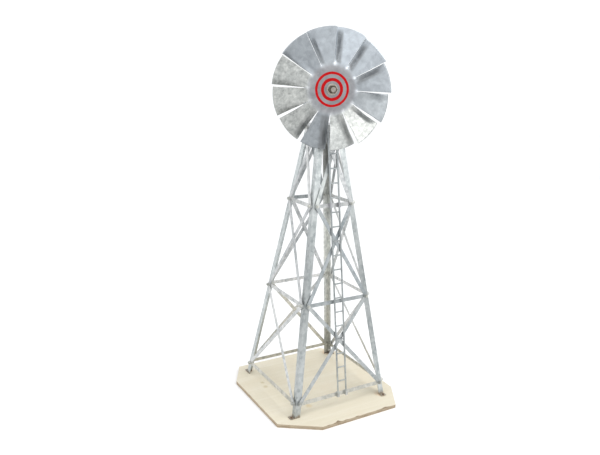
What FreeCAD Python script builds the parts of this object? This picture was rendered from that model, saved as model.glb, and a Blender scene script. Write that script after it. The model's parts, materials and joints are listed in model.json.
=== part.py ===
import FreeCAD, Part
import math
import os

import Sketcher
from FreeCAD import Placement, Rotation, Vector

# Garden windmill: a square lattice tower on a plywood board, with a swivelling head that carries
# a twelve-blade sheet wheel and a tail vane. Millimetres, +Z up, origin on the tower's axis at the
# board's underside. The ladder climbs the tower's front face, which looks along -Y.

SIZES = [
    ("board_thick", 12.0, "plywood board"),
    ("board_left", 252.0, "board edge from the tower's axis, towards -X"),
    ("board_right", 240.0, "towards +X"),
    ("board_front", 268.0, "towards -Y"),
    ("board_back", 236.0, "towards +Y"),
    ("front_left_cut_x", 125.0, "corner sawn off the board, front left"),
    ("front_left_cut_y", 82.0, "front left"),
    ("front_right_cut_x", 65.0, "front right"),
    ("front_right_cut_y", 108.0, "front right"),
    ("back_right_cut_x", 62.0, "back right"),
    ("back_right_cut_y", 86.0, "back right"),
    ("back_left_cut_x", 57.0, "back left"),
    ("back_left_cut_y", 100.0, "back left"),
    ("foot_half", 185.0, "half the square of the leg corners at the board's top"),
    ("lean", 0.15015, "how far a leg corner comes in, in x and in y, for each unit of height"),
    ("leg_height", 952.0, "legs, above the board"),
    ("leg_flange", 20.0, "leg angle section"),
    ("leg_thick", 2.0, "leg angle section"),
    ("tab_length", 16.0, "foot tab turned out onto the board"),
    ("tab_screw", 9.0, "foot screw from the leg's corner line, outwards and along the flange"),
    ("spare_hole_rise", 19.0, "spare hole in the back leg, above the board"),
    ("girt_low", 46.0, "height of the lowest ring of joints above the board"),
    ("girt_mid", 368.0, "second ring"),
    ("girt_high", 692.0, "third ring"),
    ("cap_joint", 940.0, "ring of joints in the cap's skirt"),
    ("joint_edge", 12.0, "joint bolts from the leg's corner line"),
    ("strap_wide", 13.0, "flat bar of girts and braces"),
    ("strap_thick", 2.0, "flat bar of girts and braces"),
    ("bolt_diam", 6.0, "joint bolts"),
    ("bolt_clear", 0.2, "how much wider a bolt's hole is"),
    ("bolt_head_diam", 10.0, "pan head, inside the leg"),
    ("bolt_head_high", 3.3, "pan head"),
    ("bolt_end", 2.5, "thread standing out of its nut"),
    ("nut_flats", 10.0, "joint nuts, across flats"),
    ("nut_high", 5.0, "joint nuts"),
    ("washer_diam", 12.0, "packing washers, as thick as a strap"),
    ("screw_diam", 4.0, "foot screws"),
    ("screw_head_diam", 8.5, "foot screws"),
    ("screw_head_high", 3.0, "foot screws"),
    ("screw_depth", 10.0, "foot screws, into the board"),
    ("rail_diam", 6.0, "ladder rails"),
    ("rail_gap", 33.0, "ladder rails, between centres"),
    ("rail_bottom", 40.0, "ladder rails start at this height above the board"),
    ("rail_top", 935.0, "and end at this height"),
    ("rung_diam", 5.0, "ladder rungs"),
    ("rung_first", 93.0, "height of the lowest rung above the board"),
    ("rung_rise", 48.0, "from rung to rung"),
    ("clip_wide", 7.4, "ladder clips"),
    ("clip_wall", 1.2, "ladder clips"),
    ("cap_skirt", 22.0, "depth of the tower cap's skirt"),
    ("cap_thick", 2.0, "tower cap"),
    ("post_diam", 12.0, "pivot post"),
    ("post_bottom", 938.0, "pivot post, above the board"),
    ("post_top", 1052.0, "pivot post, above the board"),
    ("post_nut_flats", 18.0, "nuts above and below the cap"),
    ("post_nut_high", 8.0, "nuts above and below the cap"),
    ("thrust_diam", 24.0, "thrust washer under the head"),
    ("thrust_thick", 2.0, "thrust washer under the head"),
    ("run_gap", 0.05, "radial clearance of a turning fit"),
    ("end_gap", 0.1, "end clearance of a turning fit"),
    ("hub_height", 1069.0, "wheel axis above the board"),
    ("head_turn", -20.0, "head's heading about +Z from facing -Y, in degrees"),
    ("sleeve_diam", 22.0, "upright sleeve of the head"),
    ("housing_diam", 30.0, "axle housing"),
    ("housing_front", 78.0, "axle housing, ahead of the tower's axis"),
    ("housing_back", 28.0, "axle housing, behind the tower's axis"),
    ("bush_diam", 22.0, "flanged bushes"),
    ("bush_length", 20.0, "flanged bushes"),
    ("bush_flange_diam", 28.0, "flanged bushes"),
    ("bush_flange_thick", 2.5, "flanged bushes"),
    ("axle_diam", 16.0, "axle bolt"),
    ("axle_tip", 119.0, "axle bolt's end, ahead of the tower's axis"),
    ("axle_head_flats", 24.0, "axle bolt's head, and the hub nuts"),
    ("axle_head_high", 10.0, "axle bolt's head"),
    ("hub_nut_high", 13.0, "hub nuts"),
    ("hub_washer_diam", 36.0, "hub washers"),
    ("hub_washer_thick", 2.5, "hub washers"),
    ("wheel_ahead", 98.0, "middle of the wheel's sheet, ahead of the tower's axis"),
    ("wheel_radius", 190.5, "wheel"),
    ("wheel_sheet", 1.2, "wheel"),
    ("wheel_start", 2.3, "first slit clockwise from the top, in degrees"),
    ("slit_root", 80.0, "slits run from this radius to the rim"),
    ("slit_wide", 2.0, "slits, before the blades are twisted"),
    ("blade_twist", 18.0, "how far the blades are twisted at the rim, in degrees"),
    ("lug_wide", 18.0, "block under the housing that holds the tail boom"),
    ("lug_high", 20.0, "tail lug"),
    ("lug_back", 30.0, "tail lug's back face, behind the tower's axis"),
    ("boom_drop", 24.0, "tail boom below the wheel axis"),
    ("boom_diam", 10.0, "tail boom"),
    ("boom_front", 14.0, "tail boom, behind the tower's axis"),
    ("boom_back", 345.0, "tail boom's end, behind the tower's axis"),
    ("vane_front", 215.0, "tail vane, behind the tower's axis"),
    ("vane_back", 350.0, "tail vane, behind the tower's axis"),
    ("vane_nose", 44.0, "tail vane's height at its front edge"),
    ("vane_high", 104.0, "tail vane's greatest height"),
    ("vane_shoulder", 45.0, "length of the tail vane's flare"),
    ("vane_sheet", 1.5, "tail vane"),
    ("rivet_diam", 4.0, "tail rivets"),
    ("rivet_head_diam", 8.0, "tail rivets"),
    ("rivet_head_high", 2.0, "tail rivets"),
    ("lug_rivet", 22.0, "rivet through the tail lug, behind the tower's axis"),
]

BLADES = 12
BLADE_STEPS = 6
RIVETS_IN_VANE = 3
SIDES = ["front", "right", "back", "left"]
RINGS = ["girt_low", "girt_mid", "girt_high", "cap_joint"]
BAYS = ["lower", "middle", "upper"]
UP = Vector(0, 0, 1)

doc = FreeCAD.newDocument("garden_windmill")
dims = doc.addObject("Spreadsheet::Sheet", "dims")
pieces = []


def fill_sheet():
    """Put every driving size in the sheet, one row each: its name, its value and what it is of."""
    for row, (alias, value, note) in enumerate(SIZES, start=1):
        dims.set(f"A{row}", alias)
        dims.set(f"B{row}", str(value))
        dims.set(f"C{row}", note)
        dims.setAlias(f"B{row}", alias)
    doc.recompute()


def size(alias):
    """One size from the sheet."""
    return float(getattr(dims, alias))


def bind(thing, **expressions):
    """Bind properties to expressions of the sheet's sizes."""
    for name, expression in expressions.items():
        thing.setExpression(name, expression)


def finish_piece(thing, label, placement=None):
    """Label a finished sub-part, place it and remember it for the STEP files."""
    thing.Label = label
    if placement is not None:
        thing.Placement = placement
    pieces.append(thing)
    return thing


# ---- sketches and solids -------------------------------------------------------------------


def new_sketch(body, name, role="XY_Plane", offset=Placement()):
    """A sketch on one of the body's own origin planes."""
    sketch = body.newObject("Sketcher::SketchObject", name)
    plane = next(item for item in body.Origin.OriginFeatures if item.Role == role)
    sketch.AttachmentSupport = [(plane, "")]
    sketch.MapMode = "FlatFace"
    sketch.AttachmentOffset = offset
    return sketch


def tie(sketch, kind, *where, expression=None):
    """Add a constraint, driven by an expression where one is given."""
    if expression is None:
        sketch.addConstraint(Sketcher.Constraint(kind, *where))
        return
    value = float(sketch.evalExpression(expression))
    index = sketch.addConstraint(Sketcher.Constraint(kind, *where, value))
    sketch.setExpression(f"Constraints[{index}]", expression)


def polygon(sketch, corners):
    """A closed outline through corners, each a pair of expressions for x and y."""
    points = []
    for x, y in corners:
        points.append(Vector(float(sketch.evalExpression(x)), float(sketch.evalExpression(y)), 0))
    lines = []
    for start, end in zip(points, points[1:] + points[:1]):
        lines.append(sketch.addGeometry(Part.LineSegment(start, end)))
    for line, following in zip(lines, lines[1:] + lines[:1]):
        tie(sketch, "Coincident", line, 2, following, 1)
    for line, (x, y) in zip(lines, corners):
        tie(sketch, "DistanceX", -1, 1, line, 1, expression=x)
        tie(sketch, "DistanceY", -1, 1, line, 1, expression=y)


def circle(sketch, x, y, radius):
    """A circle whose centre and radius are expressions."""
    centre = Vector(float(sketch.evalExpression(x)), float(sketch.evalExpression(y)), 0)
    index = sketch.addGeometry(Part.Circle(centre, UP, float(sketch.evalExpression(radius))))
    tie(sketch, "DistanceX", -1, 1, index, 3, expression=x)
    tie(sketch, "DistanceY", -1, 1, index, 3, expression=y)
    tie(sketch, "Radius", index, expression=radius)


def pad(body, sketch, length):
    """Raise a sketch's outline by a length that is an expression."""
    feature = body.newObject("PartDesign::Pad", "Pad")
    feature.Profile = sketch
    bind(feature, Length=length)
    return feature


def cylinder(radius, height, placement=Placement()):
    """A cylinder from the placement's origin along its Z."""
    tool = doc.addObject("Part::Cylinder", "Cylinder")
    bind(tool, Radius=radius, Height=height)
    tool.Placement = placement
    return tool


def box(length, width, height, placement=Placement()):
    """A box from the placement's origin."""
    tool = doc.addObject("Part::Box", "Box")
    bind(tool, Length=length, Width=width, Height=height)
    tool.Placement = placement
    return tool


def fuse(things):
    joined = doc.addObject("Part::MultiFuse", "Fuse")
    joined.Shapes = things
    joined.Refine = True
    return joined


def cut(base, tools):
    """Take several tools out of a base."""
    result = doc.addObject("Part::Cut", "Cut")
    result.Base = base
    result.Tool = tools[0] if len(tools) == 1 else fuse(tools)
    return result


def links(master, placements):
    """Linked copies of one shape at several places."""
    made = []
    for placement in placements:
        link = doc.addObject("App::Link", "Copy")
        link.LinkedObject = master
        link.LinkTransform = False
        link.Placement = placement
        made.append(link)
    return made


def copies(master, placements):
    """The same piece at several places, as one group of separate solids."""
    group = doc.addObject("Part::Compound", "Group")
    group.Links = links(master, placements)
    return group


def hex_nut(flats, high, bore):
    """A hexagon nut standing on the XY plane; its bore is an expression, or None for a solid hexagon."""
    body = doc.addObject("PartDesign::Body", "HexNut")
    sketch = new_sketch(body, "Hexagon")
    corners = []
    for turn in range(0, 360, 60):
        corners.append((f"{flats} / sqrt(3) * cos({turn} deg)", f"{flats} / sqrt(3) * sin({turn} deg)"))
    polygon(sketch, corners)
    if bore is not None:
        circle(sketch, "0", "0", bore)
    pad(body, sketch, high)
    return body


def ring(outer, bore, thick):
    """A washer standing on the XY plane."""
    body = doc.addObject("PartDesign::Body", "Washer")
    sketch = new_sketch(body, "Ring")
    circle(sketch, "0", "0", outer)
    circle(sketch, "0", "0", bore)
    pad(body, sketch, thick)
    return body


# ---- places on the tower -------------------------------------------------------------------


def corner_half(rise):
    """Half the square of the leg corners at a height above the board."""
    return size("foot_half") - size("lean") * rise


def slope():
    """Lean of a tower face from upright, in radians."""
    return math.atan(size("lean"))


def face_frame(face):
    """Placement of a tower face: x across it, y up its slope, z straight out of it."""
    lean = slope()
    across = Vector(1, 0, 0)
    upward = Vector(0, math.sin(lean), math.cos(lean))
    outward = across.cross(upward)
    foot = Vector(0, -size("foot_half"), size("board_thick"))
    front = Placement(foot, Rotation(across, upward, outward, "ZXY"))
    return Placement(Vector(), Rotation(UP, 90.0 * face)).multiply(front)


def up_slope(rise):
    """Distance up a face's slope to a height above the board."""
    return rise / math.cos(slope())


def on_face(face, across, rise, out, turn=0.0):
    """Placement on a face, turned about the face's outward direction by some degrees."""
    local = Placement(Vector(across, up_slope(rise), out), Rotation(UP, turn))
    return face_frame(face).multiply(local)


def joint_across(ring_name):
    """Distance of a ring's bolts from the middle of the face."""
    return corner_half(size(ring_name)) - size("joint_edge")


def joint_places(out, rings=RINGS):
    """Every joint of the named rings, on all faces, at a distance out from the leg's flange."""
    places = []
    for face in range(4):
        for ring_name in rings:
            for side in (-1, 1):
                places.append(on_face(face, side * joint_across(ring_name), size(ring_name), out))
    return places


# ---- board and legs ------------------------------------------------------------------------


def foot_screw_places(rise):
    """Foot screws of the four legs, at a height above the board."""
    places = []
    for leg in range(4):
        corner = Vector(-size("foot_half") - size("tab_screw"), -size("foot_half") + size("tab_screw"), 0)
        spot = Rotation(UP, 90.0 * leg).multVec(corner) + Vector(0, 0, size("board_thick") + rise)
        places.append(Placement(spot, Rotation()))
    return places


def base_board():
    body = doc.addObject("PartDesign::Body", "Board")
    sketch = new_sketch(body, "BoardOutline")
    left, right = "-dims.board_left", "dims.board_right"
    front, back = "-dims.board_front", "dims.board_back"
    polygon(sketch, [
        (f"{left} + dims.front_left_cut_x", front),
        (f"{right} - dims.front_right_cut_x", front),
        (right, f"{front} + dims.front_right_cut_y"),
        (right, f"{back} - dims.back_right_cut_y"),
        (f"{right} - dims.back_right_cut_x", back),
        (f"{left} + dims.back_left_cut_x", back),
        (left, f"{back} - dims.back_left_cut_y"),
        (left, f"{front} + dims.front_left_cut_y"),
    ])
    pad(body, sketch, "dims.board_thick")
    holes = []
    for place in foot_screw_places(-size("screw_depth")):
        holes.append(cylinder("dims.screw_diam / 2", "dims.screw_depth + 1", place))
    finish_piece(cut(body, holes), "base_board")


def leg(index):
    """One leg: an angle section with its corner on the tower's corner line, built at the front left."""
    body = doc.addObject("PartDesign::Body", "LegAngle")
    sketch = new_sketch(body, "AngleSection")
    wide, thick = "dims.leg_flange", "dims.leg_thick"
    polygon(sketch, [("0", "0"), (wide, "0"), (wide, thick), (thick, thick), (thick, wide), ("0", wide)])
    run = pad(body, sketch, "dims.leg_height")
    run.UseCustomVector = True
    run.Direction = Vector(size("lean"), size("lean"), 1)
    run.AlongSketchNormal = True
    tab_end = Placement(Vector(-size("tab_length"), 0, 0), Rotation())
    tab = box("dims.tab_length + dims.leg_thick", wide, thick, tab_end)
    hole_radius = "dims.bolt_diam / 2 + dims.bolt_clear / 2"
    through = "4 * dims.leg_thick"
    corner = Vector(-size("foot_half"), -size("foot_half"), size("board_thick"))
    home = Placement(corner, Rotation()).inverse()
    tools = []
    for ring_name in RINGS:
        reach = joint_across(ring_name)
        for face, side in ((0, -1), (3, 1)):
            place = on_face(face, side * reach, size(ring_name), -2 * size("leg_thick"))
            tools.append(cylinder(hole_radius, through, home.multiply(place)))
    screw = Placement(Vector(-size("tab_screw"), size("tab_screw"), -1), Rotation())
    tools.append(cylinder("dims.screw_diam / 2 + dims.bolt_clear / 2", through, screw))
    if SIDES[index] == "back":
        across = corner_half(0) - size("joint_edge")
        spare = on_face(3, across, size("spare_hole_rise"), -2 * size("leg_thick"))
        tools.append(cylinder(hole_radius, through, home.multiply(spare)))
    place = Placement(Vector(), Rotation(UP, 90.0 * index)).multiply(Placement(corner, Rotation()))
    finish_piece(cut(fuse([body, tab]), tools), f"leg_{SIDES[index]}", place)


def foot_screws():
    shank = cylinder("dims.screw_diam / 2", "dims.screw_depth + dims.leg_thick")
    head = doc.addObject("Part::Cone", "ScrewHead")
    bind(head, Radius1="dims.screw_head_diam / 2", Radius2="dims.screw_head_diam / 4")
    bind(head, Height="dims.screw_head_high")
    head.Placement = Placement(Vector(0, 0, size("screw_depth") + size("leg_thick")), Rotation())
    finish_piece(copies(fuse([shank, head]), foot_screw_places(-size("screw_depth"))), "foot_screws")


# ---- straps, bolts and nuts ----------------------------------------------------------------


def strap(label, length, placement):
    """A flat bar with round ends and a bolt hole in each, from the placement's origin along its X."""
    body = doc.addObject("PartDesign::Body", "Strap")
    sketch = new_sketch(body, "StrapOutline")
    reach = float(sketch.evalExpression(length))
    half = size("strap_wide") / 2
    quarter = math.pi / 2
    near = Part.Circle(Vector(0, 0, 0), UP, half)
    far = Part.Circle(Vector(reach, 0, 0), UP, half)
    lower = sketch.addGeometry(Part.LineSegment(Vector(0, -half, 0), Vector(reach, -half, 0)))
    far_end = sketch.addGeometry(Part.ArcOfCircle(far, -quarter, quarter))
    upper = sketch.addGeometry(Part.LineSegment(Vector(reach, half, 0), Vector(0, half, 0)))
    near_end = sketch.addGeometry(Part.ArcOfCircle(near, quarter, 3 * quarter))
    tie(sketch, "Tangent", lower, 2, far_end, 1)
    tie(sketch, "Tangent", far_end, 2, upper, 1)
    tie(sketch, "Tangent", upper, 2, near_end, 1)
    tie(sketch, "Tangent", near_end, 2, lower, 1)
    tie(sketch, "Coincident", near_end, 3, -1, 1)
    tie(sketch, "PointOnObject", far_end, 3, -1)
    tie(sketch, "DistanceX", -1, 1, far_end, 3, expression=length)
    tie(sketch, "Radius", near_end, expression="dims.strap_wide / 2")
    for x in ("0", length):
        circle(sketch, x, "0", "dims.bolt_diam / 2 + dims.bolt_clear / 2")
    pad(body, sketch, "dims.strap_thick")
    finish_piece(body, label, placement)


def half_at(ring_name):
    """Expression for a ring's bolts from the middle of the face."""
    return f"(dims.foot_half - dims.lean * dims.{ring_name} - dims.joint_edge)"


def girt(face, ring_name):
    reach = joint_across(ring_name)
    place = on_face(face, -reach, size(ring_name), 0.0)
    strap(f"{ring_name}_{SIDES[face]}", f"2 * {half_at(ring_name)}", place)


def brace(face, bay, side):
    """A diagonal of one bay; side -1 starts at the left joint and lies under the one from the right."""
    low, high = RINGS[bay], RINGS[bay + 1]
    across = joint_across(low) + joint_across(high)
    rise = up_slope(size(high)) - up_slope(size(low))
    turn = math.degrees(math.atan2(rise, across))
    layer = 1 if side < 0 else 2
    if side > 0:
        turn = 180.0 - turn
    place = on_face(face, side * joint_across(low), size(low), layer * size("strap_thick"), turn)
    width = f"({half_at(low)} + {half_at(high)})"
    height = f"((dims.{high} - dims.{low}) * sqrt(1 + dims.lean ^ 2))"
    hand = "left" if side < 0 else "right"
    strap(f"brace_{BAYS[bay]}_{SIDES[face]}_{hand}", f"sqrt({width} ^ 2 + {height} ^ 2)", place)


def stack_height():
    """Outer face of the joint stack: a girt and two braces, or a packing washer in a brace's stead."""
    return 3 * size("strap_thick")


def joint_bolts():
    """Pan-head bolts through flange and straps, heads inside the legs."""
    head = cylinder("dims.bolt_head_diam / 2", "dims.bolt_head_high")
    rise = Placement(Vector(0, 0, size("bolt_head_high")), Rotation())
    length = "dims.leg_thick + 3 * dims.strap_thick + dims.nut_high + dims.bolt_end"
    shank = cylinder("dims.bolt_diam / 2", length, rise)
    seat = -size("leg_thick") - size("bolt_head_high")
    finish_piece(copies(fuse([head, shank]), joint_places(seat)), "joint_bolts")


def joint_nuts():
    nut = hex_nut("dims.nut_flats", "dims.nut_high", "dims.bolt_diam / 2")
    finish_piece(copies(nut, joint_places(stack_height())), "joint_nuts")


def joint_washers():
    """Packing where only one brace meets a joint: over it on one side, under it on the other."""
    washer = ring("dims.washer_diam / 2", "dims.bolt_diam / 2 + dims.bolt_clear / 2", "dims.strap_thick")
    places = []
    for face in range(4):
        for ring_name, under_side in (("girt_low", 1), ("cap_joint", -1)):
            for side in (-1, 1):
                layer = 1 if side == under_side else 2
                out = layer * size("strap_thick")
                places.append(on_face(face, side * joint_across(ring_name), size(ring_name), out))
    finish_piece(copies(washer, places), "joint_washers")


# ---- ladder --------------------------------------------------------------------------------


def rail_out():
    """Rail centres out from the front face, just clear of the outer braces."""
    return stack_height() + size("rail_diam") / 2 + size("end_gap")


def ladder():
    """Two round rails up the front face and the rungs welded between them, each rung's ends shaped to the
    rails."""
    rail = cylinder("dims.rail_diam / 2", "(dims.rail_top - dims.rail_bottom) * sqrt(1 + dims.lean ^ 2)")
    climb = Placement(Vector(), Rotation(Vector(1, 0, 0), -90))
    rail_places = []
    for side in (-1, 1):
        foot = on_face(0, side * size("rail_gap") / 2, size("rail_bottom"), rail_out())
        rail_places.append(foot.multiply(climb))
    rod = cylinder("dims.rung_diam / 2", "dims.rail_gap")
    rail_rooms = []
    for along_rung in (0.0, size("rail_gap")):
        start = Vector(0, -2 * size("rung_diam"), along_rung)
        place = Placement(start, Rotation(Vector(1, 0, 0), -90))
        rail_rooms.append(cylinder("dims.rail_diam / 2", "4 * dims.rung_diam", place))
    rung = cut(rod, rail_rooms)
    across = Placement(Vector(), Rotation(Vector(0, 1, 0), 90))
    rung_places = []
    rise = size("rung_first")
    while rise < size("rail_top"):
        rung_places.append(on_face(0, -size("rail_gap") / 2, rise, rail_out()).multiply(across))
        rise += size("rung_rise")
    group = doc.addObject("Part::Compound", "RailsAndRungs")
    group.Links = links(rail, rail_places) + links(rung, rung_places)
    finish_piece(group, "ladder")


def ladder_clips():
    """Clips that hook over a girt's edges and hold the rails off it."""
    wall = size("clip_wall")
    half_wide, half_high = size("clip_wide") / 2, size("strap_wide") / 2 + wall
    low_corner = Placement(Vector(-half_wide, -half_high, -wall), Rotation())
    depth = "3 * dims.strap_thick + dims.end_gap + dims.rail_diam + 2 * dims.clip_wall"
    block = box("dims.clip_wide", "dims.strap_wide + 2 * dims.clip_wall", depth, low_corner)
    girt_corner = Placement(Vector(-half_wide - 1, -size("strap_wide") / 2, 0), Rotation())
    girt_room = box("dims.clip_wide + 2", "dims.strap_wide", "dims.strap_thick", girt_corner)
    rail_start = Placement(Vector(0, -half_high - wall, rail_out()), Rotation(Vector(1, 0, 0), -90))
    rail_room = cylinder("dims.rail_diam / 2", "dims.strap_wide + 4 * dims.clip_wall", rail_start)
    clip = cut(block, [girt_room, rail_room])
    places = []
    for ring_name in ("girt_low", "girt_high"):
        for side in (-1, 1):
            places.append(on_face(0, side * size("rail_gap") / 2, size(ring_name), 0.0))
    finish_piece(copies(clip, places), "ladder_clips")


# ---- top of the tower ----------------------------------------------------------------------


def above_board(rise):
    """Placement on the tower's axis at a height above the board."""
    return Placement(Vector(0, 0, size("board_thick") + rise), Rotation())


def frustum(low, high, out):
    """Four-sided tapering block between two heights that follows the tower's faces, a distance out from
    the leg flanges; all three are expressions."""
    half = "dims.foot_half - dims.lean * ({}) + " + f"{out} * sqrt(1 + dims.lean ^ 2)"
    wide, narrow = half.format(low), half.format(high)
    block = doc.addObject("Part::Wedge", "Frustum")
    bind(block, Xmin=f"-({wide})", Xmax=wide, Zmin=f"-({wide})", Zmax=wide)
    bind(block, X2min=f"-({narrow})", X2max=narrow, Z2min=f"-({narrow})", Z2max=narrow)
    bind(block, Ymin=f"dims.board_thick + {low}", Ymax=f"dims.board_thick + {high}")
    block.Placement = Placement(Vector(), Rotation(Vector(1, 0, 0), 90))
    return block


def tower_cap():
    """Folded cap over the four leg ends, with a skirt that bolts to their flanges."""
    top = "dims.leg_height"
    bottom = f"{top} - dims.cap_skirt"
    outside = frustum(bottom, f"{top} + dims.cap_thick", "dims.strap_thick")
    shell = cut(outside, [frustum(bottom, top, "0")])
    holes = []
    for place in joint_places(-size("leg_thick"), ["cap_joint"]):
        holes.append(cylinder("dims.bolt_diam / 2 + dims.bolt_clear / 2", "4 * dims.leg_thick", place))
    under_plate = above_board(size("leg_height") - size("cap_thick"))
    holes.append(cylinder("dims.post_diam / 2 + dims.bolt_clear", "3 * dims.cap_thick", under_plate))
    finish_piece(cut(shell, holes), "tower_cap")


def pivot_post():
    post = cylinder("dims.post_diam / 2", "dims.post_top - dims.post_bottom")
    finish_piece(post, "pivot_post", above_board(size("post_bottom")))


def post_nuts():
    nut = hex_nut("dims.post_nut_flats", "dims.post_nut_high", "dims.post_diam / 2")
    plate = size("leg_height")
    places = [above_board(plate - size("post_nut_high")), above_board(plate + size("cap_thick"))]
    finish_piece(copies(nut, places), "post_nuts")


def thrust_rise():
    """Top of the upper post nut, above the board, where the thrust washer lies."""
    return size("leg_height") + size("cap_thick") + size("post_nut_high")


def thrust_washer():
    washer = ring("dims.thrust_diam / 2", "dims.post_diam / 2 + dims.run_gap", "dims.thrust_thick")
    finish_piece(washer, "thrust_washer", above_board(thrust_rise()))


# ---- head and tail -------------------------------------------------------------------------


def head_frame():
    """Head's placement: its x to the wheel's left seen from behind, y forwards, z up, on the wheel axis."""
    heading = Rotation(UP, 180.0 + size("head_turn"))
    return Placement(Vector(0, 0, size("board_thick") + size("hub_height")), heading)


def along(ahead, drop=0.0):
    """Placement in the head with its Z forwards, a distance ahead of the tower's axis."""
    return Placement(Vector(0, ahead, -drop), Rotation(Vector(1, 0, 0), -90))


def sideways(start, ahead):
    """Placement in the head at the boom's height with its Z along the head's x."""
    return Placement(Vector(start, ahead, -size("boom_drop")), Rotation(Vector(0, 1, 0), 90))


def head_housing():
    """Axle housing welded across an upright sleeve, with a lug behind it for the tail boom."""
    housing_length = "dims.housing_front + dims.housing_back"
    tube = cylinder("dims.housing_diam / 2", housing_length, along(-size("housing_back")))
    sleeve_bottom = thrust_rise() + size("thrust_thick") + size("end_gap") - size("hub_height")
    upright = Placement(Vector(0, 0, sleeve_bottom), Rotation())
    nut_top = "(dims.leg_height + dims.cap_thick + dims.post_nut_high)"
    mid_wall = "(dims.housing_diam + dims.bush_diam) / 4"
    sleeve_length = f"dims.hub_height - {nut_top} - dims.thrust_thick - {mid_wall}"
    sleeve = cylinder("dims.sleeve_diam / 2", sleeve_length, upright)
    lug_corner = Vector(-size("lug_wide") / 2, -size("lug_back"), -size("boom_drop") - size("lug_high") / 2)
    lug = box("dims.lug_wide", "dims.lug_back", "dims.lug_high", Placement(lug_corner, Rotation()))
    body = fuse([tube, sleeve, lug])
    axle_bore = cylinder("dims.bush_diam / 2", f"{housing_length} + 2", along(-size("housing_back") - 1))
    post_bore = cylinder("dims.post_diam / 2 + dims.run_gap", f"dims.post_top - {nut_top}", upright)
    boom_bore = cylinder("dims.boom_diam / 2", "dims.lug_back - dims.boom_front + 1",
                         along(-size("lug_back") - 1, size("boom_drop")))
    rivet_bore = cylinder("dims.rivet_diam / 2", "dims.lug_wide + 2",
                          sideways(-size("lug_wide") / 2 - 1, -size("lug_rivet")))
    finish_piece(cut(body, [axle_bore, post_bore, boom_bore, rivet_bore]), "head_housing", head_frame())


def axle_bushes():
    """Two flanged bushes, pushed in from the housing's ends."""
    flange = cylinder("dims.bush_flange_diam / 2", "dims.bush_flange_thick")
    barrel = cylinder("dims.bush_diam / 2", "dims.bush_length + dims.bush_flange_thick")
    bore = cylinder("dims.axle_diam / 2 + dims.run_gap", "dims.bush_length + 2 * dims.bush_flange_thick")
    bush = cut(fuse([flange, barrel]), [bore])
    back = along(-size("housing_back") - size("bush_flange_thick"))
    turned = Placement(Vector(), Rotation(Vector(1, 0, 0), 180))
    front = along(size("housing_front") + size("bush_flange_thick")).multiply(turned)
    finish_piece(copies(bush, [head_frame().multiply(back), head_frame().multiply(front)]), "axle_bushes")


def vane_rivet_places():
    """Distances behind the tower's axis of the rivets through boom and vane."""
    margin = size("rivet_head_diam")
    first, last = size("vane_front") + margin, size("boom_back") - margin
    step = (last - first) / (RIVETS_IN_VANE - 1)
    return [first + step * index for index in range(RIVETS_IN_VANE)]


def tail_boom():
    rod = cylinder("dims.boom_diam / 2", "dims.boom_back - dims.boom_front",
                   along(-size("boom_back"), size("boom_drop")))
    holes = []
    for behind in [size("lug_rivet")] + vane_rivet_places():
        place = sideways(-size("boom_diam"), -behind)
        holes.append(cylinder("dims.rivet_diam / 2", "2 * dims.boom_diam", place))
    finish_piece(cut(rod, holes), "tail_boom", head_frame())


def tail_vane():
    """Flat sheet on the boom's side: a narrow nose that flares to the full height."""
    body = doc.addObject("PartDesign::Body", "Vane")
    sketch = new_sketch(body, "VaneOutline", "YZ_Plane")
    nose, shoulder, back = "-dims.vane_front", "-dims.vane_front - dims.vane_shoulder", "-dims.vane_back"
    polygon(sketch, [
        (nose, "-dims.vane_nose / 2"),
        (nose, "dims.vane_nose / 2"),
        (shoulder, "dims.vane_high / 2"),
        (back, "dims.vane_high / 2"),
        (back, "-dims.vane_high / 2"),
        (shoulder, "-dims.vane_high / 2"),
    ])
    pad(body, sketch, "dims.vane_sheet")
    holes = []
    for behind in vane_rivet_places():
        place = Placement(Vector(-1, -behind, 0), Rotation(Vector(0, 1, 0), 90))
        holes.append(cylinder("dims.rivet_diam / 2", "dims.vane_sheet + 2", place))
    offset = Placement(Vector(size("boom_diam") / 2, 0, -size("boom_drop")), Rotation())
    finish_piece(cut(body, holes), "tail_vane", head_frame().multiply(offset))


def rivet(grip, start, ahead):
    """A rivet across the head, with a head at each end of its grip."""
    high = size("rivet_head_high")
    shank = cylinder("dims.rivet_diam / 2", grip, sideways(start, ahead))
    near = cylinder("dims.rivet_head_diam / 2", "dims.rivet_head_high", sideways(start - high, ahead))
    reach = float(shank.evalExpression(grip))
    far = cylinder("dims.rivet_head_diam / 2", "dims.rivet_head_high", sideways(start + reach, ahead))
    return fuse([shank, near, far])


def tail_rivets():
    rivets = [rivet("dims.lug_wide", -size("lug_wide") / 2, -size("lug_rivet"))]
    for behind in vane_rivet_places():
        rivets.append(rivet("dims.boom_diam + dims.vane_sheet", -size("boom_diam") / 2, -behind))
    group = doc.addObject("Part::Compound", "Rivets")
    group.Links = rivets
    finish_piece(group, "tail_rivets", head_frame())


# ---- wheel ---------------------------------------------------------------------------------


def axle_bolt():
    """Long bolt put in from behind; the wheel is clamped on its front end."""
    seat = size("housing_back") + size("bush_flange_thick") + size("end_gap")
    bolt_back = along(-seat - size("axle_head_high"))
    head = hex_nut("dims.axle_head_flats", "dims.axle_head_high", None)
    head.Placement = bolt_back
    length = ("dims.axle_tip + dims.housing_back + dims.bush_flange_thick + dims.end_gap"
              " + dims.axle_head_high")
    shank = cylinder("dims.axle_diam / 2", length, bolt_back)
    finish_piece(fuse([head, shank]), "axle_bolt", head_frame())


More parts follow.
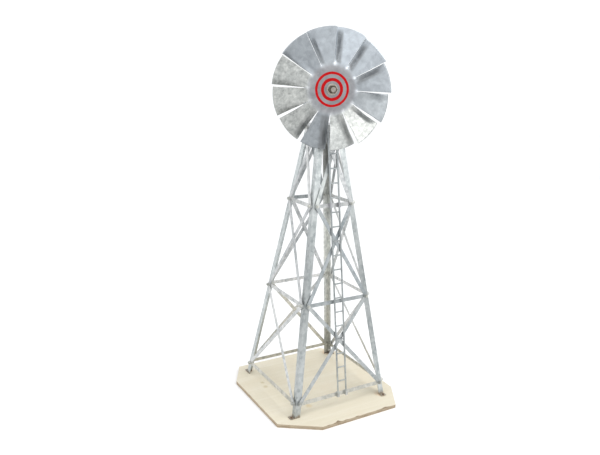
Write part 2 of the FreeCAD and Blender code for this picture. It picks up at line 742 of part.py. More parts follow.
def hub_washers():
    bore = "dims.axle_diam / 2 + dims.bolt_clear"
    washer = ring("dims.hub_washer_diam / 2", bore, "dims.hub_washer_thick")
    front = size("wheel_ahead") + size("wheel_sheet") / 2
    back = size("wheel_ahead") - size("wheel_sheet") / 2 - size("hub_washer_thick")
    places = [head_frame().multiply(along(front)), head_frame().multiply(along(back))]
    finish_piece(copies(washer, places), "hub_washers")


def hub_nuts():
    nut = hex_nut("dims.axle_head_flats", "dims.hub_nut_high", "dims.axle_diam / 2")
    clear = size("wheel_sheet") / 2 + size("hub_washer_thick")
    front = size("wheel_ahead") + clear
    back = size("wheel_ahead") - clear - size("hub_nut_high")
    places = [head_frame().multiply(along(front)), head_frame().multiply(along(back))]
    finish_piece(copies(nut, places), "hub_nuts")


def twist_at(radius):
    """Twist of a blade in degrees: quick at its root, nearly steady over its outer half."""
    share = max(0.0, (radius - size("slit_root")) / (size("wheel_radius") - size("slit_root")))
    return size("blade_twist") * math.sin(min(1.0, 1.35 * share) * math.pi / 2)


def blade_section(body, radius):
    """Cross-section of a blade along +X; seen from the front its clockwise edge is turned forwards."""
    offset = Placement(Vector(0, 0, radius), Rotation(UP, -twist_at(radius)))
    sketch = new_sketch(body, "BladeSection", "YZ_Plane", offset)
    half_chord = f"({radius} * tan(180 deg / {BLADES}) - dims.slit_wide / 2)"
    half_sheet = "dims.wheel_sheet / 2"
    polygon(sketch, [
        (f"-{half_chord}", f"-{half_sheet}"),
        (half_chord, f"-{half_sheet}"),
        (half_chord, half_sheet),
        (f"-{half_chord}", half_sheet),
    ])
    return sketch


def blade():
    """One blade along +X, from inside the hub disc to beyond the rim."""
    body = doc.addObject("PartDesign::Body", "BladeSheet")
    root, rim = size("slit_root"), size("wheel_radius")
    reach = rim - root
    radii = [root - 10] + [root + reach * step / BLADE_STEPS for step in range(BLADE_STEPS + 1)] + [rim + 8]
    sections = [blade_section(body, radius) for radius in radii]
    loft = body.newObject("PartDesign::AdditiveLoft", "Blade")
    loft.Profile = sections[0]
    loft.Sections = sections[1:]
    loft.Ruled = True
    return body


def wheel():
    """One disc slit into twelve blades, each twisted about its own radius; its front is +Z here."""
    body = doc.addObject("PartDesign::Body", "HubDisc")
    middle = Placement(Vector(0, 0, -size("wheel_sheet") / 2), Rotation())
    disc = new_sketch(body, "Disc", offset=middle)
    circle(disc, "0", "0", "dims.slit_root")
    circle(disc, "0", "0", "dims.axle_diam / 2 + dims.bolt_clear")
    pad(body, disc, "dims.wheel_sheet")
    turns = [Placement(Vector(), Rotation(UP, 360.0 * index / BLADES)) for index in range(BLADES)]
    sheet = fuse([body] + links(blade(), turns))
    rim_room = cylinder("dims.wheel_radius", "dims.wheel_radius",
                        Placement(Vector(0, 0, -size("wheel_radius") / 2), Rotation()))
    trimmed = doc.addObject("Part::Common", "TrimmedWheel")
    trimmed.Base = sheet
    trimmed.Tool = rim_room
    turn = Placement(Vector(), Rotation(UP, 90.0 - size("wheel_start") - 180.0 / BLADES))
    finish_piece(trimmed, "wheel", head_frame().multiply(along(size("wheel_ahead"))).multiply(turn))


# ---- the whole windmill --------------------------------------------------------------------


def build():
    fill_sheet()
    base_board()
    for index in range(4):
        leg(index)
    foot_screws()
    for face in range(4):
        for ring_name in RINGS[:-1]:
            girt(face, ring_name)
        for bay in range(len(BAYS)):
            brace(face, bay, -1)
            brace(face, bay, 1)
    joint_bolts()
    joint_nuts()
    joint_washers()
    ladder()
    ladder_clips()
    tower_cap()
    pivot_post()
    post_nuts()
    thrust_washer()
    head_housing()
    axle_bushes()
    tail_boom()
    tail_vane()
    tail_rivets()
    axle_bolt()
    hub_washers()
    hub_nuts()
    wheel()
    doc.recompute()


def check():
    """Stop if anything in the document failed, or a sub-part has no sound shape."""
    for thing in doc.Objects:
        if "Invalid" in thing.State or "Error" in thing.State:
            raise RuntimeError(f"{thing.Label} failed: {thing.State}")
    for piece in pieces:
        if piece.Shape.isNull() or not piece.Shape.isValid() or not piece.Shape.Solids:
            raise RuntimeError(f"{piece.Label} has no sound shape")


def write_steps():
    os.makedirs("parts", exist_ok=True)
    for piece in pieces:
        piece.Shape.exportStep(os.path.join("parts", f"{piece.Label}.step"))


build()
check()
write_steps()
for piece in pieces:
    print(f"{piece.Label}: {len(piece.Shape.Solids)} solids, {piece.Shape.Volume / 1000:.1f} cm3")
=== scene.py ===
import json
import math

import bmesh
import bpy
from mathutils import Matrix, Vector, geometry, noise


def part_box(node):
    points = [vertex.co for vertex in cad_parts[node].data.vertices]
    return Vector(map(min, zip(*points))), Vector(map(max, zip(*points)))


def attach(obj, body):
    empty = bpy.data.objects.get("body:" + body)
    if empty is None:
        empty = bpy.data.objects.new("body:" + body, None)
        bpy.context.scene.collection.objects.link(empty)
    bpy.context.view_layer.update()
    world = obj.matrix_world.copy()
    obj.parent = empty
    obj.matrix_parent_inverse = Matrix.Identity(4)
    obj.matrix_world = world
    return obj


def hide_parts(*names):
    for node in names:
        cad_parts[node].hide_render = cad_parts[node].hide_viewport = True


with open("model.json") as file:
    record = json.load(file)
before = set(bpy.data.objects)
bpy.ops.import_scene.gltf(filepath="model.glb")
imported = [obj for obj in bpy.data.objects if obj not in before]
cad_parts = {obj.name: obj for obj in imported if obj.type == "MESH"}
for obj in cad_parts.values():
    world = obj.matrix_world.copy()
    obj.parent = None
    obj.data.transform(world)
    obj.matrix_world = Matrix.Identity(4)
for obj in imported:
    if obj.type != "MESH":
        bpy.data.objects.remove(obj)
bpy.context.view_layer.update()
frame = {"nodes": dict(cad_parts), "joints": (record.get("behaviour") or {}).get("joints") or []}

MM = 0.001
NODES = frame["nodes"]

# ---- node graphs ----------------------------------------------------------------------------


class Graph:
    """A material's node tree around its Principled shader."""

    def __init__(self, name, metallic=0.0):
        self.material = bpy.data.materials.new(name)
        self.material.use_nodes = True
        self.tree = self.material.node_tree
        self.shader = self.tree.nodes["Principled BSDF"]
        self.shader.inputs["Metallic"].default_value = metallic
        self.coordinates = self.tree.nodes.new("ShaderNodeTexCoord").outputs["Object"]

    def feed(self, socket, value):
        if isinstance(value, bpy.types.NodeSocket):
            self.tree.links.new(value, socket)
        else:
            socket.default_value = value

    def node(self, kind, inputs, **settings):
        made = self.tree.nodes.new(kind)
        for name, value in settings.items():
            setattr(made, name, value)
        for key, value in inputs.items():
            self.feed(made.inputs[key], value)
        return made

    def stretched(self, x, y, z):
        """The piece's own coordinates, scaled along each axis."""
        return self.node("ShaderNodeMapping", {"Vector": self.coordinates, "Scale": (x, y, z)}).outputs[0]

    def noise(self, size, detail=4.0, rough=0.55, vector=None, twist=0.0):
        """Noise whose features are about size metres across, from 0 to 1."""
        inputs = {
            "Vector": self.coordinates if vector is None else vector,
            "Scale": 1.0 / size,
            "Detail": detail,
            "Roughness": rough,
            "Distortion": twist,
        }
        return self.node("ShaderNodeTexNoise", inputs).outputs["Fac"]

    def cells(self, size):
        """A random value from 0 to 1 for each crystal about size metres across."""
        inputs = {"Vector": self.coordinates, "Scale": 1.0 / size}
        crystals = self.node("ShaderNodeTexVoronoi", inputs).outputs["Color"]
        return self.node("ShaderNodeSeparateColor", {0: crystals}).outputs[0]

    def math(self, operation, a, b=0.0, clamp=False):
        made = self.node("ShaderNodeMath", {0: a, 1: b}, operation=operation)
        made.use_clamp = clamp
        return made.outputs[0]

    def step(self, value, low, high, out_low=0.0, out_high=1.0):
        """A smooth step from out_low at low to out_high at high."""
        inputs = {"Value": value, "From Min": low, "From Max": high, "To Min": out_low, "To Max": out_high}
        return self.node("ShaderNodeMapRange", inputs, interpolation_type="SMOOTHSTEP").outputs[0]

    def mix(self, share, a, b, blend="MIX"):
        inputs = {0: share, 6: a, 7: b}
        made = self.node("ShaderNodeMix", inputs, data_type="RGBA", blend_type=blend)
        return made.outputs[2]

    def ramp(self, value, stops):
        made = self.node("ShaderNodeValToRGB", {0: value})
        elements = made.color_ramp.elements
        while len(elements) < len(stops):
            elements.new(1.0)
        for element, (place, colour) in zip(elements, stops):
            element.position = place
            element.color = rgba(colour)
        return made.outputs["Color"]

    def axis(self, name):
        """One of the piece's own coordinates, X, Y or Z."""
        return self.node("ShaderNodeSeparateXYZ", {0: self.coordinates}).outputs[name]

    def distance_across(self, x, y):
        """Distance from the upright line through a point of the board."""
        inputs = {0: self.stretched(1, 1, 0), 1: Vector((x, y, 0.0))}
        return self.node("ShaderNodeVectorMath", inputs, operation="DISTANCE").outputs["Value"]

    def wobble(self, size, detail, reach, rough=0.55):
        """Noise from minus half to plus half of reach, which makes a straight border ragged."""
        return self.math("MULTIPLY", self.math("SUBTRACT", self.noise(size, detail, rough), 0.5), reach)

    def bump(self, height, distance, strength=1.0):
        """Relief of a height map, its distance in metres."""
        inputs = {"Height": height, "Distance": distance, "Strength": strength}
        self.feed(self.shader.inputs["Normal"], self.node("ShaderNodeBump", inputs).outputs[0])

    def finish(self, colour, roughness):
        self.feed(self.shader.inputs["Base Color"], colour)
        self.feed(self.shader.inputs["Roughness"], roughness)
        return self.material


def rgba(colour):
    return (*colour, 1.0) if len(colour) == 3 else colour


def mixed(a, b, share):
    return tuple(x + (y - x) * share for x, y in zip(rgba(a), rgba(b)))


def srgb(red, green, blue):
    """Linear colour from screen values of 0 to 255."""
    values = []
    for channel in (red, green, blue):
        share = channel / 255.0
        values.append(share / 12.92 if share <= 0.04045 else ((share + 0.055) / 1.055) ** 2.4)
    return (*values, 1.0)


# ---- materials ------------------------------------------------------------------------------

# Marks on galvanised steel: their sizes, the depth of the relief, and how far the stains spread.
ZINC_CLOUD = 45 * MM
ZINC_GRAIN = 6 * MM
ZINC_PATCH = 110 * MM
ZINC_RELIEF = 0.18 * MM
JOINT_STAIN_REACH = 22 * MM
FOOT_RUST = 12 * MM

BOARD_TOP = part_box("base_board")[1].z
TOWER_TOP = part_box("tower_cap")[1].z
RING_BOXES = [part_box(f"girt_{ring}_front") for ring in ("low", "mid", "high")]
JOINT_RISES = [((low + high) / 2).z for low, high in RING_BOXES]


def near_joints(graph, reach):
    """1 at the height of a ring of joints, falling to 0 at reach above or below it."""
    height = graph.axis("Z")
    nearest = None
    for rise in JOINT_RISES:
        away = graph.math("ABSOLUTE", graph.math("SUBTRACT", height, rise))
        nearest = away if nearest is None else graph.math("MINIMUM", nearest, away)
    return graph.step(nearest, reach, 0.0)


def zinc(name, light, dark, stain, stain_share, spangle=0.010, metallic=0.75, rough=(0.34, 0.56),
         joints=0.0, foot=None, height_shading=()):
    """Weathered hot-dip galvanising: crystals, cloudy patches, run marks, stains and a rusty foot. Height
    shading is painted light and shade: shares of the tower's height, each with the colour that the zinc is
    multiplied by there."""
    graph = Graph(name, metallic)
    runs = graph.stretched(1.0, 1.0, 0.35)
    cloud = graph.noise(ZINC_CLOUD, 5.0, 0.6, runs, 0.4)
    grain = graph.noise(ZINC_GRAIN, 3.0, 0.6, runs)
    crystal = graph.cells(spangle)
    blend = graph.math("ADD", graph.math("MULTIPLY", cloud, 0.75), graph.math("MULTIPLY", crystal, 0.22))
    blend = graph.math("ADD", blend, graph.math("MULTIPLY", grain, 0.30))
    colour = graph.ramp(blend, [(0.40, dark), (0.60, mixed(dark, light, 0.55)), (0.80, light)])
    patch_noise = graph.noise(ZINC_PATCH, 6.0, 0.65, runs, 0.8)
    patch = graph.step(patch_noise, 0.72 - stain_share, 0.86 - stain_share)
    if joints:
        ring = graph.math("MULTIPLY", near_joints(graph, JOINT_STAIN_REACH), graph.noise(0.012, 3.0))
        patch = graph.math("MAXIMUM", patch, graph.math("MULTIPLY", ring, joints, clamp=True))
    colour = graph.mix(graph.math("MULTIPLY", patch, 0.8), colour, stain)
    # Painted light and shade along the height: the zinc made brighter or darker at each share of the tower's
    # height.
    if height_shading:
        wander = graph.math("MULTIPLY", graph.math("SUBTRACT", cloud, 0.5), 0.06)
        share = graph.math("ADD", graph.math("DIVIDE", graph.axis("Z"), TOWER_TOP), wander)
        colour = graph.mix(1.0, colour, graph.ramp(share, height_shading), "MULTIPLY")
    if foot:
        ragged = graph.math("MULTIPLY", graph.math("SUBTRACT", grain, 0.5), 0.02)
        rise = graph.math("ADD", graph.axis("Z"), ragged)
        rust = graph.step(rise, BOARD_TOP + FOOT_RUST, BOARD_TOP, 0.0, 0.85)
        colour = graph.mix(rust, colour, foot)
    relief = graph.math("ADD", grain, graph.math("MULTIPLY", crystal, 0.5))
    graph.bump(relief, ZINC_RELIEF, 0.6)
    smooth_rough, coarse_rough = rough
    roughness = graph.step(graph.noise(0.02, 4.0, 0.6, runs), 0.25, 0.75, smooth_rough, coarse_rough)
    return graph.finish(colour, roughness)


def rusty_steel(name):
    graph = Graph(name, 0.25)
    mottle = graph.noise(0.003, 6.0, 0.7)
    browns = [(0.3, srgb(74, 58, 46)), (0.5, srgb(108, 84, 64)), (0.7, srgb(150, 120, 92))]
    colour = graph.ramp(mottle, browns)
    graph.bump(mottle, 0.0003, 0.8)
    return graph.finish(colour, graph.step(mottle, 0.2, 0.8, 0.6, 0.85))


# Middle radius and half width of each painted ring.
RINGS = ((50.8 * MM, 3.8 * MM), (30.8 * MM, 4.8 * MM))
PAINTED_REACH = RINGS[0][0]


def wheel_axis():
    """The direction that the wheel faces."""
    spin = next(joint for joint in frame["joints"] if joint["name"] == "wheel_spin")
    return Vector(spin["axis"]).normalized()


def wheel_sheet():
    """Galvanised blades, each with a tone that is partly its own and partly painted reflection, painted
    shade along the folds and two painted rings.
    """
    graph = Graph("wheel_sheet", 0.7)

    def layer(name):
        return graph.node("ShaderNodeAttribute", {}, attribute_name=name).outputs["Fac"]

    cloud = graph.noise(0.035, 6.0, 0.62, None, 0.7)
    blotch = graph.noise(0.011, 5.0, 0.68, None, 0.5)
    fine = graph.noise(0.004, 4.0, 0.65)
    crystal = graph.cells(0.013)
    # Cool grey on some blades, warm mottled grey on others, as set for each blade; the warm grey is partly
    # the zinc's own mottling and partly painted reflection of the warm board below.
    cool = graph.ramp(cloud, [(0.3, srgb(170, 176, 182)), (0.7, srgb(196, 203, 209))])
    warm_light = graph.math("ADD", graph.math("MULTIPLY", cloud, 0.35), graph.math("MULTIPLY", blotch, 0.65))
    warm_stops = [(0.36, srgb(145, 147, 144)), (0.5, srgb(178, 180, 177)), (0.64, srgb(208, 209, 205))]
    warm = graph.ramp(warm_light, warm_stops)
    colour = graph.mix(layer("mottled"), cool, warm)
    hub = graph.ramp(cloud, [(0.3, srgb(138, 138, 141)), (0.7, srgb(168, 168, 171))])
    colour = graph.mix(layer("hub"), colour, hub)
    inside = graph.step(layer("radius"), PAINTED_REACH + 3 * MM, PAINTED_REACH - 5 * MM, 0.0, 0.15)
    colour = graph.mix(inside, colour, srgb(96, 96, 98))
    shade = graph.math("ADD", graph.math("MULTIPLY", crystal, 0.10), graph.math("MULTIPLY", fine, 0.10))
    shade = graph.math("ADD", layer("tone"), graph.math("SUBTRACT", shade, 0.10))
    grey = graph.node("ShaderNodeCombineColor", {0: shade, 1: shade, 2: shade}).outputs[0]
    colour = graph.mix(1.0, colour, grey, "MULTIPLY")
    # Painted shade in the fold beside each blade's back edge, broken up by the blotch noise and mixed
    # towards dark grey.
    fold_shade_share = graph.math("MULTIPLY", layer("fold"), graph.step(blotch, 0.25, 0.6, 0.6, 1.0), clamp=True)
    colour = graph.mix(graph.math("MULTIPLY", fold_shade_share, 0.7), colour, srgb(98, 98, 98))
    away = graph.math("ADD", layer("radius"), graph.wobble(0.012, 2.0, 2.2 * MM))
    rings = None
    for middle, half in RINGS:
        off = graph.math("ABSOLUTE", graph.math("SUBTRACT", away, middle))
        band = graph.step(off, half + 0.5 * MM, half - 0.3 * MM)
        rings = band if rings is None else graph.math("MAXIMUM", rings, band)
    unchipped = graph.step(graph.noise(0.005, 5.0, 0.7), 0.2, 0.34)
    rings = graph.math("MULTIPLY", rings, unchipped)
    normal = graph.tree.nodes["Texture Coordinate"].outputs["Normal"]
    inputs = {0: normal, 1: wheel_axis()}
    ahead = graph.node("ShaderNodeVectorMath", inputs, operation="DOT_PRODUCT").outputs["Value"]
    rings = graph.math("MULTIPLY", rings, graph.step(ahead, 0.0, 0.2))
    paint = graph.ramp(fine, [(0.3, srgb(160, 0, 6)), (0.7, srgb(186, 6, 12))])
    colour = graph.mix(rings, colour, paint)
    graph.feed(graph.shader.inputs["Metallic"], graph.step(rings, 0.0, 1.0, 0.7, 0.0))
    graph.feed(graph.shader.inputs["Specular IOR Level"], graph.step(rings, 0.0, 1.0, 0.5, 0.12))
    relief = graph.math("ADD", fine, graph.math("MULTIPLY", cloud, 1.5))
    graph.bump(relief, 0.00035, 0.55)
    return graph.finish(colour, graph.step(cloud, 0.3, 0.7, 0.36, 0.50))


PLIES = 5
# Stains on the board: place, reach, strength and colour.
STAINS = (
    ((-0.1705, 0.0837), 0.011, 0.55, srgb(176, 160, 112)),
    ((-0.1734, 0.0509), 0.013, 0.55, srgb(184, 168, 124)),
    ((-0.1035, -0.1345), 0.016, 0.60, srgb(206, 184, 140)),
    ((0.1832, 0.1920), 0.036, 0.45, srgb(190, 150, 100)),
    ((0.1650, -0.1800), 0.020, 0.40, srgb(196, 160, 122)),
)
FOOT_STAIN = 20 * MM
# How far out each foot stain lies, as a share of the way to its foot tab's outer corner.
FOOT_PLACE = 0.94


def foot_places():
    """A place on the board under each leg's foot tab."""
    places = []
    for leg in ("leg_front", "leg_right", "leg_back", "leg_left"):
        low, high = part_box(leg)
        x = max(low.x, high.x, key=abs)
        y = max(low.y, high.y, key=abs)
        places.append((x * FOOT_PLACE, y * FOOT_PLACE))
    return places


def plywood():
    """Pale worn plywood: grain along X, specks, stains, rust round the feet and bare plies at the edges."""
    graph = Graph("plywood", 0.0)
    along = graph.stretched(0.10, 1.0, 1.0)
    waves = graph.noise(0.020, 5.0, 0.6, along, 0.6)
    fibres = graph.noise(0.0022, 3.0, 0.6, graph.stretched(0.04, 1.0, 1.0))
    cloud = graph.noise(0.14, 5.0, 0.6)
    creams = [(0.34, srgb(213, 205, 184)), (0.5, srgb(216, 208, 188)), (0.66, srgb(219, 212, 194))]
    face = graph.ramp(waves, creams)
    face = graph.mix(graph.step(cloud, 0.48, 0.72, 0.0, 0.45), face, srgb(214, 202, 178))
    face = graph.mix(graph.step(fibres, 0.55, 0.85, 0.0, 0.16), face, srgb(200, 189, 158))
    speck = graph.noise(0.006, 5.0, 0.7)
    face = graph.mix(graph.step(speck, 0.54, 0.70, 0.0, 0.35), face, srgb(196, 186, 160))
    for (x, y), reach, strength, tint in STAINS:
        ragged = graph.wobble(0.016, 4.0, 1.4 * reach, 0.7)
        away = graph.math("ADD", graph.distance_across(x, y), ragged)
        face = graph.mix(graph.step(away, reach, 0.2 * reach, 0.0, strength), face, tint)
    for x, y in foot_places():
        ragged = graph.wobble(0.010, 4.0, 1.1 * FOOT_STAIN, 0.7)
        away = graph.math("ADD", graph.distance_across(x, y), ragged)
        rust = graph.step(away, FOOT_STAIN, 0.2 * FOOT_STAIN, 0.0, 0.55)
        face = graph.mix(rust, face, srgb(150, 112, 76))
    height = graph.axis("Z")
    band = graph.math("FRACT", graph.math("MULTIPLY", height, PLIES / BOARD_TOP))
    ply_tone = graph.noise(0.0024, 1.0, 0.5, graph.stretched(0.0, 0.0, 1.0))
    tans = [(0.3, srgb(148, 132, 110)), (0.5, srgb(172, 156, 132)), (0.7, srgb(194, 180, 156))]
    edge = graph.ramp(ply_tone, tans)
    glue = graph.math("MAXIMUM", graph.step(band, 0.10, 0.0), graph.step(band, 0.90, 1.0))
    edge = graph.mix(graph.math("MULTIPLY", glue, 0.5), edge, srgb(104, 86, 68))
    dirt = graph.step(graph.noise(0.03, 6.0, 0.7), 0.45, 0.65, 0.0, 0.4)
    edge = graph.mix(dirt, edge, srgb(140, 120, 94))
    normal = graph.node("ShaderNodeNewGeometry", {}).outputs["Normal"]
    upward = graph.node("ShaderNodeSeparateXYZ", {0: normal}).outputs["Z"]
    below_top = graph.math("GREATER_THAN", BOARD_TOP - 0.2 * MM, height)
    bare = graph.math("MAXIMUM", graph.step(graph.math("ABSOLUTE", upward), 0.8, 0.4), below_top)
    colour = graph.mix(bare, face, edge)
    relief = graph.math("ADD", graph.math("MULTIPLY", fibres, 0.6), waves)
    graph.bump(relief, 0.0005, 0.5)
    return graph.finish(colour, graph.step(waves, 0.2, 0.8, 0.72, 0.88))


def brass():
    graph = Graph("bush_brass", 0.9)
    tarnish = graph.noise(0.006, 5.0, 0.65)
    colour = graph.ramp(tarnish, [(0.35, srgb(120, 92, 50)), (0.65, srgb(190, 156, 92))])
    graph.bump(tarnish, 0.0001, 0.5)
    return graph.finish(colour, graph.step(tarnish, 0.3, 0.7, 0.28, 0.5))


# ---- the board ------------------------------------------------------------------------------

EDGE_STEP = 3.0 * MM
# Notches broken out of the top ply along the front edge: place along X, depth and half width.
NOTCHES = ((-64 * MM, 10 * MM, 7.5 * MM), (130 * MM, 5 * MM, 11 * MM))
# The first notch goes on into the ply below, narrower and not as deep.
NOTCH_BELOW = (-64 * MM, 3 * MM, 6 * MM)


def outline_of(node):
    """Corners of a flat node's outline, seen from above."""
    points = [vertex.co.to_2d() for vertex in NODES[node].data.vertices]
    order = geometry.convex_hull_2d(points)
    return [points[index] for index in order]


def walk(corners, pitch):
    """Points along a closed outline at an even pitch, each with its inward direction."""
    centre = sum(corners, Vector((0, 0))) / len(corners)
    places = []
    for start, end in zip(corners, corners[1:] + corners[:1]):
        run = end - start
        inward = Vector((-run.y, run.x)).normalized()
        if inward.dot(centre - start) < 0:
            inward = -inward
        count = max(1, round(run.length / pitch))
        for index in range(count):
            places.append((start + run * (index / count), inward))
    return places


def notch(x, place, depth, half_width):
    return depth * math.exp(-((x - place) / half_width) ** 2)


def edge_wear(ply, point, inward):
    """How far a ply's edge has worn back at a place, in metres."""
    fray = noise.noise(Vector((point.x * 90, point.y * 90, ply * 7.3)))
    wear = 0.25 * MM + 0.7 * MM * abs(fray)
    chip = noise.noise(Vector((point.x * 28, point.y * 28, 40.0 + ply)))
    wear += 2.2 * MM * max(0.0, chip - 0.15)
    facing_front = inward.y > 0.9
    if facing_front and ply == PLIES - 1:
        splinter = noise.noise(Vector((point.x * 45, 3.1, 9.0)))
        wear += 4.5 * MM * max(0.0, splinter)
        wear += sum(notch(point.x, *sizes) for sizes in NOTCHES)
    if facing_front and ply == PLIES - 2:
        wear += notch(point.x, *NOTCH_BELOW)
    return wear


def board_mesh():
    """The five plies, each with its own worn edge."""
    places = walk(outline_of("base_board"), EDGE_STEP)
    low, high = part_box("base_board")
    thick = (high.z - low.z) / PLIES
    mesh = bmesh.new()
    rings = []
    for ply in range(PLIES):
        for lift in (0.0, 1.0):
            ring = []
            for point, inward in places:
                spot = point + inward * edge_wear(ply, point, inward)
                ring.append(mesh.verts.new((spot.x, spot.y, low.z + thick * (ply + lift))))
            rings.append(ring)
    for under, over in zip(rings, rings[1:]):
        for index in range(len(places)):
            after = (index + 1) % len(places)
            mesh.faces.new((under[index], under[after], over[after], over[index]))
    mesh.faces.new(rings[-1])
    mesh.faces.new(list(reversed(rings[0])))
    bmesh.ops.recalc_face_normals(mesh, faces=mesh.faces)
    return mesh


def new_piece(name, mesh, material, body, rounded=False):
    """An object of the given mesh and material that rides on a body."""
    data = bpy.data.meshes.new(name)
    mesh.to_mesh(data)
    mesh.free()
    data.materials.append(material)
    if rounded:
        data.polygons.foreach_set("use_smooth", [True] * len(data.polygons))
    piece = bpy.data.objects.new(name, data)
    bpy.context.scene.collection.objects.link(piece)
    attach(piece, body)
    return piece


# ---- the wheel ------------------------------------------------------------------------------

BLADES = 12
HUB_BORE = 8.3 * MM
SLIT_ROOT = 80 * MM
SLIT_HALF = 1.0 * MM
FIRST_SLIT = math.radians(2.3)
RIM_TWIST = math.radians(18.0)
SHEET = 1.2 * MM
# Faces across a blade, along a blade, and from the bore out to the slits.
ACROSS = 26
OUTWARD = 30
HUB_ROWS = 14
# Depth of the fold along a blade's back edge, and height of the dimple at a slit's root.
FOLD_DEPTH = 3.6 * MM
DIMPLE = 2.3 * MM
WAVINESS = 0.5 * MM
# One value for each blade, clockwise from the top as seen from the front. The tones are partly each blade's
# own and partly painted reflection of the light it faces, the root glints are painted highlights and the
# streaks are painted shade in the folds.
BLADE_TONE_AND_LIGHT = [1.1, 0.9, 0.75, 0.75, 1.3, 1.05, 0.55, 0.8, 0.9, 0.95, 0.65, 0.85]
BLADE_MOTTLE = [0.0, 0.05, 0.1, 0.3, 1.0, 0.9, 0.15, 0.95, 1.0, 0.95, 0.1, 0.1]
BLADE_JOGGLE = [1.0, 1.0, 0.9, 0.0, 1.0, 0.8, 0.8, 0.45, -0.15, 0.1, -0.5, 0.9]
STREAK_DEPTH = [1.0, 0.95, 0.9, 0.25, 0.85, 0.75, 0.75, 0.45, 0.1, 0.12, 0.0, 0.8]
STREAK_WIDTH = [1.35, 1.4, 1.5, 1.4, 1.1, 1.6, 1.8, 1.5, 1.0, 1.0, 1.0, 0.9]
STREAK_END = [1.0, 0.95, 0.95, 1.0, 0.9, 1.2, 1.2, 1.0, 0.9, 1.1, 0.8, 0.9]
ROOT_GLINT = [0.8, 0.9, 0.7, 0.5, 0.6, 0.5, 0.3, 0.3, 0.5, 0.7, 0.6, 0.4]
HUB_TONE = 0.88
HUB_MOTTLE = 0.15


def wheel_frame():
    """Matrix from the wheel's own axes (right, up and forwards, seen from the front) to the row frame."""
    ahead = wheel_axis()
    up = Vector((0, 0, 1))
    right = up.cross(ahead).normalized()
    low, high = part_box("hub_washers")
    turn = Matrix((right, up, ahead)).transposed().to_4x4()
    return Matrix.Translation((low + high) / 2) @ turn


def wheel_radius(matrix):
    to_wheel = matrix.inverted()
    return max((to_wheel @ vertex.co).to_2d().length for vertex in NODES["wheel"].data.vertices)


def smooth(value, low, high):
    """A smooth step from 0 at low to 1 at high."""
    share = min(1.0, max(0.0, (value - low) / (high - low)))
    return share * share * (3 - 2 * share)


def blade_twist(radius, rim):
    """A blade's turn about its middle line: none at the slit's root, and all of it short of the rim."""
    share = max(0.0, (radius - SLIT_ROOT) / (rim - SLIT_ROOT))
    return RIM_TWIST * math.sin(min(1.0, 1.35 * share) * math.pi / 2)


def sheet_point(radius, offset, rim, blade):
    """A point of a blade in its own axes: along its middle line, clockwise across it, and forwards."""
    along, across = radius * math.cos(offset), radius * math.sin(offset)
    half = radius * math.sin(math.pi / BLADES) - SLIT_HALF
    twist = blade_twist(radius, rim)
    back_edge = across + half
    fade = smooth(radius, SLIT_ROOT, SLIT_ROOT + 14 * MM) * (1 - smooth(radius, 0.72 * rim, 0.93 * rim))
    margin = 1 - smooth(back_edge, 8 * MM, 17 * MM)
    lift = -FOLD_DEPTH * fade * margin * BLADE_JOGGLE[blade]
    slit = (radius - SLIT_ROOT + 5 * MM) / (7 * MM)
    edge = (half - abs(across)) / (6 * MM)
    lift += DIMPLE * math.exp(-slit * slit - edge * edge)
    wave = noise.noise(Vector((along * 30, across * 30, blade * 5.0)))
    lift += WAVINESS * wave * smooth(radius, SLIT_ROOT, rim)
    return Vector((along, across * math.cos(twist) - lift * math.sin(twist),
                   across * math.sin(twist) + lift * math.cos(twist)))


def painted_fold_shade(radius, offset, rim, blade):
    """How much painted shade lies in the fold beside the blade's back edge, from 0 to 1."""
    half = radius * math.sin(math.pi / BLADES)
    back_edge = radius * math.sin(offset) + half
    wide = STREAK_WIDTH[blade]
    band = smooth(back_edge, 2 * MM, 7 * MM) * (1 - smooth(back_edge, 13 * MM * wide, 19 * MM * wide))
    end = STREAK_END[blade] * rim
    ends = smooth(radius, SLIT_ROOT - 2 * MM, SLIT_ROOT + 8 * MM) * (1 - smooth(radius, end - 22 * MM, end))
    return STREAK_DEPTH[blade] * band * ends


def back_edge_highlight(radius, offset, rim):
    """1 along the strip beside a blade's back edge, falling off towards its middle, its root and its rim:
    where a band of painted highlight goes.
    """
    back_edge = radius * math.sin(offset) + radius * math.sin(math.pi / BLADES)
    ends = smooth(radius, 0.9 * SLIT_ROOT, 1.1 * SLIT_ROOT) * (1 - smooth(radius, 0.5 * rim, rim))
    return (1 - smooth(back_edge, 6 * MM, 20 * MM)) * ends


def root_glint(radius, offset):
    """How much a place catches the light on the dimple at a slit's root, from 0 to 1."""
    gap = radius * (math.pi / BLADES - abs(offset))
    beyond = radius - SLIT_ROOT + 1 * MM
    return math.exp(-(gap / (4.5 * MM)) ** 2 - (beyond / (5 * MM)) ** 2)


